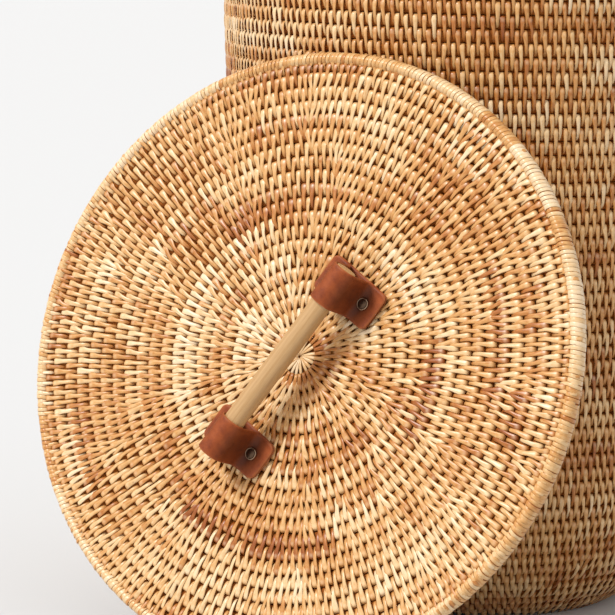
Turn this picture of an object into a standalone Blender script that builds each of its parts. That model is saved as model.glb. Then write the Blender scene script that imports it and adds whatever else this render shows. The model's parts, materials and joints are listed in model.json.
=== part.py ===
"""Round laundry basket coiled from rattan, with its lid off and leaning on the wall.

The basket stands on the floor around the world origin.  The lid leans on the -Y side
of the wall with its top facing -Y.  Metres, +Z up.
"""
import math

import bmesh
import bpy
from mathutils import Matrix

# Basket
SEGMENTS = 40            # straight stretches in every full circle
ROW_PITCH = 0.00955      # rise from one coil row of the wall to the next
ROWS_PER_COURSE = 4      # rows coiled from one length of rattan core
WALL_COURSES = 15
WALL_THICKNESS = 0.009
FOOT_RADIUS = 0.107      # where the wall leaves the flat base
FOOT_LEAN = math.radians(62.0)
KNEE_RADIUS = 0.125      # bend between the base and the straight part of the wall
WALL_LEAN = math.radians(2.5)
BASE_SPLIT = 0.048       # radius where the base's first length of core ends
RIM_WIDTH = 0.0125
RIM_HEIGHT = 0.0120
JOINT_GAP = 0.0004       # clearance between touching pieces

# Lid, in its own frame: +Z out of its top face, underside of its border at z = 0
LID_RADIUS = 0.210
LID_HUB_RADIUS = 0.0145  # radiating strips in the middle
LID_CENTRE_ROWS = 4      # rows in the first length of core, outside the hub
LID_ROWS_PER_COURSE = 4
LID_COURSES = 4
BORDER_WIDTH = 0.0080
BORDER_HEIGHT = 0.0140
LID_THICKNESS = 0.0090
LID_DROP = 0.0040        # how far the border hangs below the woven disc
LID_DISH = 0.0040        # how far the woven disc sinks towards its middle
LID_LEAN = math.radians(16.3)
LID_REST_GAP = 0.0005

# Handle, in a frame turned on the lid: +X along the dowel, +Z off the lid
HANDLE_TURN = math.radians(58.2)
HANDLE_PLACE = (0.0, -0.0080)    # middle of the handle on the lid
DOWEL_LENGTH = 0.156
DOWEL_RADIUS = 0.0075
DOWEL_HEIGHT = 0.0260    # axis above the lid's top face
DOWEL_BEVEL = 0.0008
DOWEL_PLAY = 0.0004
STRAP_WIDTH = 0.0285     # along the dowel
STRAP_SPAN = 0.0520      # across the dowel, tab end to tab end
LEATHER = 0.0018
PATCH_LEATHER = 0.0018
TAB_CORNER = 0.0050
CREASE = 0.0006          # small bend where the saddle meets its tabs
RIVET_OFFSET = 0.0142    # across, from the dowel's axis
RIVET_HEAD_RADIUS = 0.0042
RIVET_HEAD_HEIGHT = 0.0022
RIVET_SHANK_RADIUS = 0.0015
RIVET_HOLE_RADIUS = 0.0018
RIVET_STEPS = 16
WASHER_RADIUS = 0.0050
WASHER_THICKNESS = 0.0010

# Finishes: base colour, roughness, metallic
RATTAN = ((0.72, 0.44, 0.20), 0.55, 0.0)
RATTAN_RIM = ((0.66, 0.38, 0.16), 0.55, 0.0)
LEATHER_TAN = ((0.22, 0.055, 0.018), 0.45, 0.0)
PALE_WOOD = ((0.75, 0.54, 0.30), 0.5, 0.0)
DARK_METAL = ((0.060, 0.045, 0.036), 0.35, 1.0)


def clear_scene():
    for item in list(bpy.data.objects):
        bpy.data.objects.remove(item, do_unlink=True)


def material(name, finish):
    colour, roughness, metallic = finish
    made = bpy.data.materials.new(name)
    made.use_nodes = True
    shader = made.node_tree.nodes["Principled BSDF"]
    shader.inputs["Base Color"].default_value = (*colour, 1.0)
    shader.inputs["Roughness"].default_value = roughness
    shader.inputs["Metallic"].default_value = metallic
    return made


def place(name, bm, finish, parent=None, matrix=None, smooth=True):
    """Turn a bmesh into a named object with its own material."""
    bmesh.ops.recalc_face_normals(bm, faces=bm.faces)
    mesh = bpy.data.meshes.new(name)
    bm.to_mesh(mesh)
    bm.free()
    if smooth:
        mesh.shade_smooth()
        mesh.set_sharp_from_angle(angle=math.radians(40.0))
    mesh.materials.append(material(name + "_finish", finish))
    made = bpy.data.objects.new(name, mesh)
    bpy.context.collection.objects.link(made)
    made.parent = parent
    if matrix is not None:
        made.matrix_local = matrix
    return made


def empty(name, matrix, parent=None):
    made = bpy.data.objects.new(name, None)
    bpy.context.collection.objects.link(made)
    made.parent = parent
    made.matrix_local = matrix
    return made


def turned(profile, closed=True, steps=SEGMENTS):
    """Spin an (r, z) profile about Z.  An open profile starts and ends on the axis."""
    bm = bmesh.new()
    points = [bm.verts.new((r, 0.0, z)) for r, z in profile]
    edges = [bm.edges.new(pair) for pair in zip(points, points[1:])]
    if closed:
        edges.append(bm.edges.new((points[-1], points[0])))
    bmesh.ops.spin(bm, geom=points + edges, cent=(0, 0, 0), axis=(0, 0, 1),
                   angle=2.0 * math.pi, steps=steps, use_merge=True)
    bmesh.ops.remove_doubles(bm, verts=bm.verts, dist=1e-6)
    return bm


def oval(centre, width, height, points=8):
    """Profile of a bound coil: an oval with flat top, bottom and sides."""
    start = math.pi / points
    flat = math.cos(start)
    turns = [start + 2.0 * math.pi * i / points for i in range(points)]
    return [(centre[0] + width / 2.0 / flat * math.cos(a),
             centre[1] + height / 2.0 / flat * math.sin(a)) for a in turns]


# Basket

def wall_section(s):
    """Outer face of the wall at arc length s from the foot: radius, height, lean."""
    knee_length = KNEE_RADIUS * (FOOT_LEAN - WALL_LEAN)
    lean = FOOT_LEAN - min(s, knee_length) / KNEE_RADIUS
    radius = FOOT_RADIUS + KNEE_RADIUS * (math.cos(lean) - math.cos(FOOT_LEAN))
    height = KNEE_RADIUS * (math.sin(FOOT_LEAN) - math.sin(lean))
    straight = max(0.0, s - knee_length)
    return radius + straight * math.sin(lean), height + straight * math.cos(lean), lean


def wall_point(s, depth):
    """A point at arc length s, depth inward from the wall's outer face."""
    radius, height, lean = wall_section(s)
    return radius - depth * math.cos(lean), height + depth * math.sin(lean)


def wall_course(index):
    length = ROW_PITCH * ROWS_PER_COURSE
    low = index * length + JOINT_GAP / 2.0
    high = (index + 1) * length - JOINT_GAP / 2.0
    bent = low < KNEE_RADIUS * (FOOT_LEAN - WALL_LEAN)
    stops = [low, (low + high) / 2.0, high] if bent else [low, high]
    outer = [wall_point(s, 0.0) for s in stops]
    inner = [wall_point(s, WALL_THICKNESS) for s in reversed(stops)]
    return place(f"wall_course_{index + 1:02d}", turned(outer + inner), RATTAN)


def base():
    """Flat disc of two lengths of core; its edge meets the slanted foot of the wall."""
    top = WALL_THICKNESS
    edge_low = FOOT_RADIUS - JOINT_GAP / math.cos(FOOT_LEAN)
    edge_high = edge_low - top / math.tan(FOOT_LEAN)
    centre = [(0.0, top), (BASE_SPLIT, top), (BASE_SPLIT, 0.0), (0.0, 0.0)]
    place("base_centre", turned(centre, closed=False), RATTAN)
    inside = BASE_SPLIT + JOINT_GAP
    course = [(inside, top), (edge_high, top), (edge_low, 0.0), (inside, 0.0)]
    place("base_course", turned(course), RATTAN)


def mouth_rim():
    length = ROW_PITCH * ROWS_PER_COURSE * WALL_COURSES
    radius, height = wall_point(length, WALL_THICKNESS / 2.0)
    centre = (radius, height + 2.0 * JOINT_GAP + RIM_HEIGHT / 2.0)
    place("mouth_rim", turned(oval(centre, RIM_WIDTH, RIM_HEIGHT)), RATTAN_RIM)


def wall_radius_at(height):
    """Outer radius of the straight part of the wall at a height."""
    knee_radius, knee_height, lean = wall_section(KNEE_RADIUS * (FOOT_LEAN - WALL_LEAN))
    return knee_radius + (height - knee_height) * math.tan(lean)


# Lid

def lid_matrix():
    """The lid stands on its lower edge and its upper edge rests on the wall."""
    touch = wall_radius_at(2.0 * LID_RADIUS * math.cos(LID_LEAN))
    y = -(touch + LID_REST_GAP + LID_RADIUS * math.sin(LID_LEAN))
    z = LID_RADIUS * math.cos(LID_LEAN)
    return Matrix.Translation((0.0, y, z)) @ Matrix.Rotation(math.pi / 2 - LID_LEAN, 4, "X")


def lid_under(r):
    """Height of the woven disc's underside at radius r."""
    return LID_DROP - LID_DISH * (1.0 - (r / LID_RADIUS) ** 2)


def lid_top(r):
    return lid_under(r) + LID_THICKNESS


def lid_ring_profile(inner, outer):
    upper = [(r, lid_top(r)) for r in (inner, outer)]
    lower = [(r, lid_under(r)) for r in (outer, inner)]
    return upper + lower


def lid(frame, holes):
    rows = LID_CENTRE_ROWS + LID_COURSES * LID_ROWS_PER_COURSE
    row = (LID_RADIUS - BORDER_WIDTH - LID_HUB_RADIUS) / rows
    edge = LID_HUB_RADIUS + row * LID_CENTRE_ROWS
    centre = turned(lid_ring_profile(0.0, edge - JOINT_GAP / 2.0), closed=False)
    place("lid_centre", centre, RATTAN, frame)
    for index in range(LID_COURSES):
        inner = edge + row * LID_ROWS_PER_COURSE * index + JOINT_GAP / 2.0
        outer = inner + row * LID_ROWS_PER_COURSE - JOINT_GAP
        made = place(f"lid_course_{index + 1}", turned(lid_ring_profile(inner, outer)),
                     RATTAN, frame)
        if index == 0:
            cut(made, holes)
    width = BORDER_WIDTH - JOINT_GAP
    border = oval((LID_RADIUS - width / 2.0, BORDER_HEIGHT / 2.0), width, BORDER_HEIGHT)
    place("lid_border", turned(border), RATTAN_RIM, frame)


# Handle

def rod(radius, low, high, segments=RIVET_STEPS):
    """Upright cylinder between two heights."""
    bm = bmesh.new()
    bmesh.ops.create_cone(bm, cap_ends=True, segments=segments, radius1=radius,
                          radius2=radius, depth=high - low)
    bmesh.ops.translate(bm, verts=bm.verts, vec=(0, 0, (low + high) / 2.0))
    return bm


def rivet_places():
    along = (DOWEL_LENGTH - STRAP_WIDTH) / 2.0
    return [(x, y) for x in (-along, along) for y in (-RIVET_OFFSET, RIVET_OFFSET)]


def patch_bottom():
    """Underside of the leather patches, just clear of the dished lid, in the handle frame."""
    reach = math.hypot(DOWEL_LENGTH, STRAP_SPAN) / 2.0 + math.hypot(*HANDLE_PLACE)
    return lid_top(reach) - lid_top(0.0) + JOINT_GAP


def rivet_cutters(handle_frame):
    """Upright guides for the rivet holes, longer than the lid and the straps together."""
    reach = 0.03
    cutters = []
    for index, (x, y) in enumerate(rivet_places()):
        bm = rod(RIVET_HOLE_RADIUS, -reach, reach)
        cutter = place(f"rivet_guide_{index + 1}", bm, DARK_METAL, handle_frame,
                       Matrix.Translation((x, y, 0.0)))
        cutter.hide_render = True
        cutter.display_type = "WIRE"
        cutters.append(cutter)
    return cutters


def cut(target, cutters):
    for cutter in cutters:
        hole = target.modifiers.new("hole", "BOOLEAN")
        hole.operation = "DIFFERENCE"
        hole.solver = "EXACT"
        hole.object = cutter


def round_tab_corners(bm, half_width, half_span):
    """Bevel the short upright edges at the four outer corners."""
    corners = []
    for edge in bm.edges:
        a, b = (v.co for v in edge.verts)
        upright = abs(a.x - b.x) < 1e-6 and abs(a.y - b.y) < 1e-6
        if upright and abs(abs(a.x) - half_width) < 1e-6 and abs(abs(a.y) - half_span) < 1e-6:
            corners.append(edge)
    bmesh.ops.bevel(bm, geom=corners, offset=TAB_CORNER, segments=3, profile=0.5,
                    affect="EDGES")


def prism(outline, length):
    """Extrude a (y, z) outline along X, centred."""
    bm = bmesh.new()
    face = bm.faces.new([bm.verts.new((-length / 2.0, y, z)) for y, z in outline])
    moved = bmesh.ops.extrude_face_region(bm, geom=[face])["geom"]
    ends = [item for item in moved if isinstance(item, bmesh.types.BMVert)]
    bmesh.ops.translate(bm, verts=ends, vec=(length, 0, 0))
    return bm


def saddle_outline(tab_low):
    """Strap bent over the dowel, its two tabs flat on the patch."""
    tab_high = tab_low + LEATHER
    inner = DOWEL_RADIUS + DOWEL_PLAY
    outer = inner + LEATHER
    half = STRAP_SPAN / 2.0
    arc = [math.pi * i / 12.0 for i in range(13)]
    over = [(outer * math.cos(a), DOWEL_HEIGHT + outer * math.sin(a)) for a in arc]
    under = [(inner * math.cos(a), DOWEL_HEIGHT + inner * math.sin(a)) for a in reversed(arc)]
    flare = [(outer + CREASE, tab_high), (outer, tab_high + CREASE)]
    mirrored_flare = [(-y, z) for y, z in reversed(flare)]
    right = [(inner, tab_low), (half, tab_low), (half, tab_high)] + flare
    left = mirrored_flare + [(-half, tab_high), (-half, tab_low), (-inner, tab_low)]
    return right + over + left + under


def strap(index, centre, frame, holes):
    """One leather patch on the lid and the leather saddle riveted over it."""
    low = patch_bottom()
    half = STRAP_SPAN / 2.0
    high = low + PATCH_LEATHER
    patch = prism([(-half, low), (half, low), (half, high), (-half, high)], STRAP_WIDTH)
    round_tab_corners(patch, STRAP_WIDTH / 2.0, half)
    spot = Matrix.Translation((centre, 0.0, 0.0))
    cut(place(f"strap_patch_{index}", patch, LEATHER_TAN, frame, spot), holes)
    saddle = prism(saddle_outline(high + JOINT_GAP), STRAP_WIDTH)
    round_tab_corners(saddle, STRAP_WIDTH / 2.0, half)
    cut(place(f"strap_saddle_{index}", saddle, LEATHER_TAN, frame, spot), holes)


def rivet(index, spot, frame):
    """Domed cap and its shank, and the washer that it is clenched on under the lid."""
    x, y = spot
    nearest = math.hypot(x, y) - math.hypot(*HANDLE_PLACE) - WASHER_RADIUS
    seat = patch_bottom() + PATCH_LEATHER + LEATHER + 2.0 * JOINT_GAP
    washer_high = lid_under(nearest) - lid_top(0.0) - JOINT_GAP
    washer_low = washer_high - WASHER_THICKNESS
    dome = [(0.0, seat + RIVET_HEAD_HEIGHT),
            (RIVET_HEAD_RADIUS * 0.55, seat + RIVET_HEAD_HEIGHT * 0.86),
            (RIVET_HEAD_RADIUS * 0.90, seat + RIVET_HEAD_HEIGHT * 0.45),
            (RIVET_HEAD_RADIUS, seat + RIVET_HEAD_HEIGHT * 0.15),
            (RIVET_HEAD_RADIUS, seat)]
    shank = [(RIVET_SHANK_RADIUS, seat), (RIVET_SHANK_RADIUS, washer_low), (0.0, washer_low)]
    matrix = Matrix.Translation((x, y, 0.0))
    pin = turned(dome + shank, closed=False, steps=RIVET_STEPS)
    place(f"rivet_{index}", pin, DARK_METAL, frame, matrix)
    ring = [(RIVET_HOLE_RADIUS, washer_high), (WASHER_RADIUS, washer_high),
            (WASHER_RADIUS, washer_low), (RIVET_HOLE_RADIUS, washer_low)]
    washer = turned(ring, steps=RIVET_STEPS)
    place(f"rivet_washer_{index}", washer, DARK_METAL, frame, matrix)


def dowel(frame):
    """Round wooden grip; it can roll in the two saddles, so its origin is on its axis."""
    bm = rod(DOWEL_RADIUS, -DOWEL_LENGTH / 2.0, DOWEL_LENGTH / 2.0, segments=24)
    rims = [edge for edge in bm.edges if abs(edge.verts[0].co.z - edge.verts[1].co.z) < 1e-6]
    bmesh.ops.bevel(bm, geom=rims, offset=DOWEL_BEVEL, segments=1, affect="EDGES")
    lie_along_x = Matrix.Rotation(math.pi / 2.0, 4, "Y")
    spot = Matrix.Translation((0.0, 0.0, DOWEL_HEIGHT))
    place("handle_dowel", bm, PALE_WOOD, frame, spot @ lie_along_x)


def main():
    clear_scene()
    base()
    for index in range(WALL_COURSES):
        wall_course(index)
    mouth_rim()
    lid_frame = empty("lid_frame", lid_matrix())
    on_lid = Matrix.Translation((*HANDLE_PLACE, lid_top(0.0)))
    handle_frame = empty("handle_frame", on_lid @ Matrix.Rotation(HANDLE_TURN, 4, "Z"), lid_frame)
    holes = rivet_cutters(handle_frame)
    lid(lid_frame, holes)
    strap_centre = (DOWEL_LENGTH - STRAP_WIDTH) / 2.0
    strap(1, -strap_centre, handle_frame, holes[:2])
    strap(2, strap_centre, handle_frame, holes[2:])
    for index, spot in enumerate(rivet_places()):
        rivet(index + 1, spot, handle_frame)
    dowel(handle_frame)


main()
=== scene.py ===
import json
import math

import bpy
import numpy as np
from mathutils import Matrix, Vector


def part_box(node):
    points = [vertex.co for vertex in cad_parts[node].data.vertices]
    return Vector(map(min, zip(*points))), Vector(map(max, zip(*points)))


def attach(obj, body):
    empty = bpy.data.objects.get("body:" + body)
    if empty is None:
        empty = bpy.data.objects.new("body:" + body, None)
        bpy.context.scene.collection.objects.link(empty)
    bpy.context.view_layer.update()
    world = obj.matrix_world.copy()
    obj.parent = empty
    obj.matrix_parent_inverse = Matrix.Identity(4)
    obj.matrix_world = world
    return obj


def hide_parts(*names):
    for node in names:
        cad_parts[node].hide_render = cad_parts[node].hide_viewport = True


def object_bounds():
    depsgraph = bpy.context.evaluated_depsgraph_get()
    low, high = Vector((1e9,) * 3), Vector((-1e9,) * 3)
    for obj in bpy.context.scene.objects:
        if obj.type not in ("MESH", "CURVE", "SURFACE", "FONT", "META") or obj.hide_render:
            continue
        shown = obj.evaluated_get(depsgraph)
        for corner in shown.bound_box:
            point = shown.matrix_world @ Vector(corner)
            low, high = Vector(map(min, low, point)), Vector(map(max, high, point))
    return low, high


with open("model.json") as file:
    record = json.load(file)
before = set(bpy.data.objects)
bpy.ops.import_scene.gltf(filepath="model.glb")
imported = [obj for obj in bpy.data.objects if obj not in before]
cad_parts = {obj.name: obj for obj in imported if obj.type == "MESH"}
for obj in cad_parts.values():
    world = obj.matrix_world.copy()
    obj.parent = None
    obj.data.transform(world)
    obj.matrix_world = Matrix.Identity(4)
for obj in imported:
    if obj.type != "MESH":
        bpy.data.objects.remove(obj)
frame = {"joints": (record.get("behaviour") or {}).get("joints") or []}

CAD_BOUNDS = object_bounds()
TURN = 2.0 * math.pi

# Wall and base of the basket, in metres: the same driving sizes as the frame.
ROW_PITCH = 0.00955
ROWS_PER_COURSE = 4
WALL_COURSES = 15
WALL_THICKNESS = 0.009
FOOT_RADIUS = 0.107
FOOT_LEAN = math.radians(62.0)
KNEE_RADIUS = 0.125
WALL_LEAN = math.radians(2.5)
BASE_SPLIT = 0.048
BASE_HUB = 0.0108
BASE_THICKNESS = 0.009
SOLE_RISE = 0.0010
RIM_WIDTH = 0.0125
RIM_HEIGHT = 0.0120
FOOT_REACH = 1.10             # how far the wall's lowest stitches run down, in row pitches
BASE_GAP = 0.0006             # between the base's last row and the wall's foot
BASE_PAD_DEPTH = 0.0018       # of the pad under the strips that gather in the middle

# Lid.
LID_RADIUS = 0.210
LID_HUB = 0.0145
LID_PAD_DEPTH = 0.0024
LID_ROWS = 4                  # rows in each length of core
LID_COURSES = 5               # the centre one included
BORDER_WIDTH = 0.0080
BORDER_HEIGHT = 0.0140
BORDER_LAP = 0.0016           # the border's wraps lie this far over the row inside it
LID_THICKNESS = 0.0090
LID_DROP = 0.0040
LID_DISH = 0.0040
LAST_ROW = 0.64               # the row inside the border, as a part of the other rows' pitch
HUB_STRIPS = 0.0140           # radius out to which the hub's own strips run
HUB_REACH = 1.30              # how far the lid's first stitches run in, in row pitches
GOLDEN_SIDE = math.radians(62.0)   # middle of the border's stretch of golden lashing

# Handle.
DOWEL_LENGTH = 0.156
DOWEL_RADIUS = 0.0075
DOWEL_HEIGHT = 0.0260
DOWEL_PLAY = 0.0004
STRAP_PLACE = 0.06375
STRAP_WIDTH = 0.0285
STRAP_SPAN = 0.0520
LEATHER = 0.0018
TAB_CORNER = 0.0050
FOLD_PLACE = 0.0128           # from the strap's middle to its fold, where shade is painted
RIVET_OFFSET = 0.0142
RIVET_RADIUS = 0.0042
RIVET_HEIGHT = 0.0022
WASHER_RADIUS = 0.0050
WASHER_THICKNESS = 0.0010
WASHER_HOLE = 0.0018
SHANK_RADIUS = 0.0015
CAP_SINK = 0.00035            # the caps press this far into the leather
EDGE_ROUND = 0.0012           # breadth of the leather's rounded edge
RUBBED_EDGE = 0.0022          # breadth of its rubbed edge
FOLD_BREADTH = 0.0058         # of that fold, along the strap
FOLD_SHADE_BREADTH = 0.0085      # of the fold's darkest painted shade, across the strap
PATCH_PRESS = 0.0062          # how far from a rivet's middle the patch is pressed down
SADDLE_PRESS = 0.0060
PATCH_MARGIN = 0.0080         # the patches clear the dished face this far past the handle
JOINT_GAP = 0.0004

# Cane strips that lash the rows.
STITCH_SPACING = 0.0061       # along a row
STRIP_WIDTH = 0.0034
STRIP_TOP = 0.00048           # crown of the strip above its middle
STRIP_EDGE = -0.00015
CORE_DEPTH = 0.0016           # from the skin down to the core's crown
CORE_REACH = 0.515            # half a core's breadth, in row pitches: neighbours press together
WRAP_CROWN = 0.00016
WRAP_FILL = 0.97              # a wrap's breadth, as a part of the room it has
BORDER_SINK = 0.0010          # how much lower the golden lashing lies on the border
TUCKED_SINK = 0.0006          # and the strips of the row under it
SEED_RANGE = 90.0             # spread of the strips' places in the materials' noise
MILLIMETRE = 0.001

# Camera and light.
CAMERA_PLACE = (1.14315, -2.18756, 0.55982)
CAMERA_YAW = math.radians(30.46)
CAMERA_TILT = math.radians(90.0 - 8.17)
CAMERA_ROLL = math.radians(0.86)
LENS = 197.6
SENSOR = 36.0
SUN_SIDE = (-0.42, -1.0, 1.15)
SUN_STRENGTH = 2.9
SUN_WIDTH = math.radians(14.0)
SUN_COLOUR = (1.0, 0.985, 0.965)
SKY_STRENGTH = 0.872
FLOOR_REACH = 14.0
FLOOR_GREY = (0.59, 0.59, 0.59, 1.0)


# ---------------------------------------------------------------- surfaces of revolution

def wall_skin(t, depth):
    """Radius and height at arc length t up from the foot, 'depth' inside the outer face."""
    knee = KNEE_RADIUS * (FOOT_LEAN - WALL_LEAN)
    lean = FOOT_LEAN - np.clip(t, 0.0, knee) / KNEE_RADIUS
    radius = FOOT_RADIUS + KNEE_RADIUS * (np.cos(lean) - math.cos(FOOT_LEAN))
    height = KNEE_RADIUS * (math.sin(FOOT_LEAN) - np.sin(lean))
    straight = np.maximum(0.0, t - knee) + np.minimum(0.0, t)
    radius = radius + straight * np.sin(lean)
    height = height + straight * np.cos(lean)
    return radius - depth * np.cos(lean), height + depth * np.sin(lean)


def wall_lining(t, depth):
    return wall_skin(t, WALL_THICKNESS - depth)


def base_floor(t, depth):
    """The base as seen from inside the basket."""
    return t, BASE_THICKNESS - depth + 0.0 * t


def base_sole(t, depth):
    """The underside: its lashing sits up inside the ring that the basket stands on."""
    return t, SOLE_RISE + depth + 0.0 * t


def lid_under(r):
    return LID_DROP - LID_DISH * (1.0 - (r / LID_RADIUS) ** 2)


def lid_face(t, depth):
    return t, lid_under(t) + LID_THICKNESS - depth


def lid_back(t, depth):
    return t, lid_under(t) + depth


def circled(radius, phi, height):
    """Points from their radius, angle and height."""
    return np.stack([radius * np.cos(phi), radius * np.sin(phi), height + 0.0 * phi], axis=-1)


def spun(skin, t, phi, depth):
    """Points of a skin at the angle phi."""
    radius, height = skin(t, depth)
    return circled(radius, phi, height)


def even_angles(count):
    return np.arange(count) * TURN / count


# ---------------------------------------------------------------- mesh parts held as arrays

def part(points, quads, tone, fibre, finish, ngons=()):
    """points (n, 3), quads (m, 4), tone (n), fibre (n, 3), the place of its material in the
    piece's list, and the end faces."""
    return {"points": points, "quads": quads, "tone": tone, "fibre": fibre,
            "finish": finish, "ngons": ngons}


def fibres(shape, across, along, seed):
    """Coordinates for the materials: across and along the strip in metres, and a seed."""
    return np.stack([np.broadcast_to(value, shape) for value in (across, along, seed)], axis=-1)


def grid_quads(blocks, rows, columns, flip, ring=False):
    """Quads of 'blocks' separate tubes of closed rows; a ring joins the last row to the first."""
    b, r, c = np.meshgrid(np.arange(blocks), np.arange(rows if ring else rows - 1),
                          np.arange(columns), indexing="ij")
    start = b * rows * columns
    this_row, next_row = start + r * columns, start + (r + 1) % rows * columns
    beside = (c + 1) % columns
    quads = np.stack([this_row + c, this_row + beside, next_row + beside, next_row + c], axis=-1)
    quads = quads.reshape(-1, 4)
    return quads[:, ::-1] if flip else quads


def tube_ends(blocks, rows, columns, flip=False):
    """Faces that close the first and the last row of each tube."""
    first = np.arange(blocks)[:, None] * rows * columns + np.arange(columns)
    last = first + (rows - 1) * columns
    return (first, last[:, ::-1]) if flip else (first[:, ::-1], last)


def build(name, parts, finishes, body, nodes, matrix=None):
    """One mesh object from its parts, riding on its body and standing for its CAD nodes."""
    mesh = bpy.data.meshes.new(name)
    points, fibre = (np.concatenate([p[key].reshape(-1, 3) for p in parts])
                     for key in ("points", "fibre"))
    if matrix is not None:
        turn = np.array(matrix)
        points = points @ turn[:3, :3].T + turn[:3, 3]
    corners, totals, kinds, start = [], [], [], 0
    for p in parts:
        for faces in (p["quads"], *p["ngons"]):
            corners.append((faces + start).reshape(-1))
            totals.append(np.full(len(faces), faces.shape[1]))
            kinds.append(np.full(len(faces), p["finish"]))
        start += p["points"].size // 3
    corners, totals = np.concatenate(corners), np.concatenate(totals)
    mesh.vertices.add(len(points))
    mesh.vertices.foreach_set("co", points.astype(np.float32).ravel())
    mesh.loops.add(len(corners))
    mesh.loops.foreach_set("vertex_index", corners.astype(np.int32))
    mesh.polygons.add(len(totals))
    starts = np.concatenate([[0], np.cumsum(totals)[:-1]])
    mesh.polygons.foreach_set("loop_start", starts.astype(np.int32))
    mesh.polygons.foreach_set("material_index", np.concatenate(kinds).astype(np.int32))
    tone = np.concatenate([p["tone"].ravel() for p in parts])
    for label, kind, key, values in (("tone", "FLOAT", "value", tone),
                                     ("fibre", "FLOAT_VECTOR", "vector", fibre)):
        held = mesh.attributes.new(label, kind, "POINT")
        held.data.foreach_set(key, values.astype(np.float32).ravel())
    for finish in finishes:
        mesh.materials.append(finish)
    mesh.update(calc_edges=True)
    mesh.validate()
    mesh.shade_smooth()
    piece = bpy.data.objects.new(name, mesh)
    bpy.context.scene.collection.objects.link(piece)
    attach(piece, body)
    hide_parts(*nodes)
    return piece


# ---------------------------------------------------------------- weave

# Stations along a stitch: place in row pitches from the top of its own row, width as a part of
# STRIP_WIDTH, and depth in millimetres. It climbs over its own core, bridges to the next one
# and dives between the stitches there.
FACE_STATIONS = np.array([
    (0.00, 1.24, 2.60), (0.05, 1.36, 1.50), (0.11, 1.42, 0.90), (0.20, 1.44, 0.52),
    (0.38, 1.38, 0.28), (0.58, 1.22, 0.12), (0.78, 1.00, 0.00), (1.00, 0.90, -0.04),
    (1.24, 0.93, 0.10), (1.48, 0.96, 0.42), (1.66, 0.93, 0.95), (1.80, 0.86, 1.70),
    (1.92, 0.72, 2.90)])
WALL_STATIONS = np.array([
    (0.02, 0.90, 2.60), (0.07, 1.02, 1.50), (0.14, 1.10, 0.86), (0.24, 1.14, 0.44),
    (0.40, 1.12, 0.18), (0.58, 1.00, 0.04), (0.80, 0.86, 0.00), (1.00, 0.78, 0.10),
    (1.24, 0.78, 0.38), (1.46, 0.80, 0.86), (1.64, 0.76, 1.45), (1.78, 0.66, 2.15),
    (1.90, 0.50, 2.90)])
BACK_STATIONS = np.array([
    (0.07, 0.70, 2.70), (0.26, 1.08, 0.85), (0.60, 1.00, 0.30), (1.00, 0.84, 0.20),
    (1.50, 0.82, 0.80), (1.90, 0.60, 2.80)])
BINDING_TAIL = [(1.26, 0.82, 0.28), (1.50, 0.84, 0.60), (1.70, 0.80, 1.10), (1.84, 0.70, 1.80),
                (1.96, 0.50, 2.90)]
BORDER_FACE_STATIONS = np.array([
    (0.22, 0.70, 2.60), (0.35, 0.90, 0.50), (0.50, 0.92, -0.50), (0.62, 0.92, -0.60),
    (0.80, 0.90, -0.30), (1.00, 0.86, 0.00)] + BINDING_TAIL)
BORDER_BACK_STATIONS = np.array([
    (0.22, 0.70, -0.20), (0.35, 0.90, -2.30), (0.60, 0.92, -3.30), (0.80, 0.90, -2.20),
    (1.00, 0.86, -1.00)] + BINDING_TAIL)
RIM_STATIONS = np.array([
    (-0.25, 0.70, 1.95), (-0.10, 0.90, 0.35), (0.10, 0.92, -0.90), (0.30, 0.92, -1.20),
    (0.50, 0.92, -0.83), (0.62, 0.92, -0.30), (0.80, 0.90, 0.00),
    (1.00, 0.86, 0.10)] + BINDING_TAIL)
HUB_STATIONS = np.array([
    (0.04, 0.60, 2.20), (0.16, 1.00, 0.80), (0.45, 1.00, 0.45), (0.75, 1.00, 0.70),
    (0.93, 1.00, 1.30)])
FULL_REACH = 2.0              # a stitch's whole run, in row pitches

# Cross sections of a strip: place across and height, as parts of its half width and its crown.
FACE_SECTION = np.array([(-1.0, 0.0), (-0.68, 0.56), (0.0, 1.0), (0.68, 0.56), (1.0, 0.0)])
BACK_SECTION = np.array([(-1.0, 0.0), (-0.45, 0.95), (0.45, 0.95), (1.0, 0.0)])
WRAP_SECTION = np.array([
    (-1.0, 0.0), (-0.80, 0.72), (0.0, 1.0), (0.80, 0.72), (1.0, 0.0), (0.90, -3.0),
    (-0.90, -3.0)])


def relaxed(angles, passes):
    """Evens out the gaps between sorted angles round a circle."""
    for _ in range(passes):
        before = np.concatenate([[angles[-1] - TURN], angles[:-1]])
        after = np.concatenate([angles[1:], [angles[0] + TURN]])
        angles = angles + 0.5 * ((before + after) / 2.0 - angles)
    return angles


def stitches_round(radius):
    """How many stitches go round a row; near the middle of a disc they crowd together."""
    return round(TURN * radius / (STITCH_SPACING * min(1.0, 0.60 + radius / 0.16)))


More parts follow.
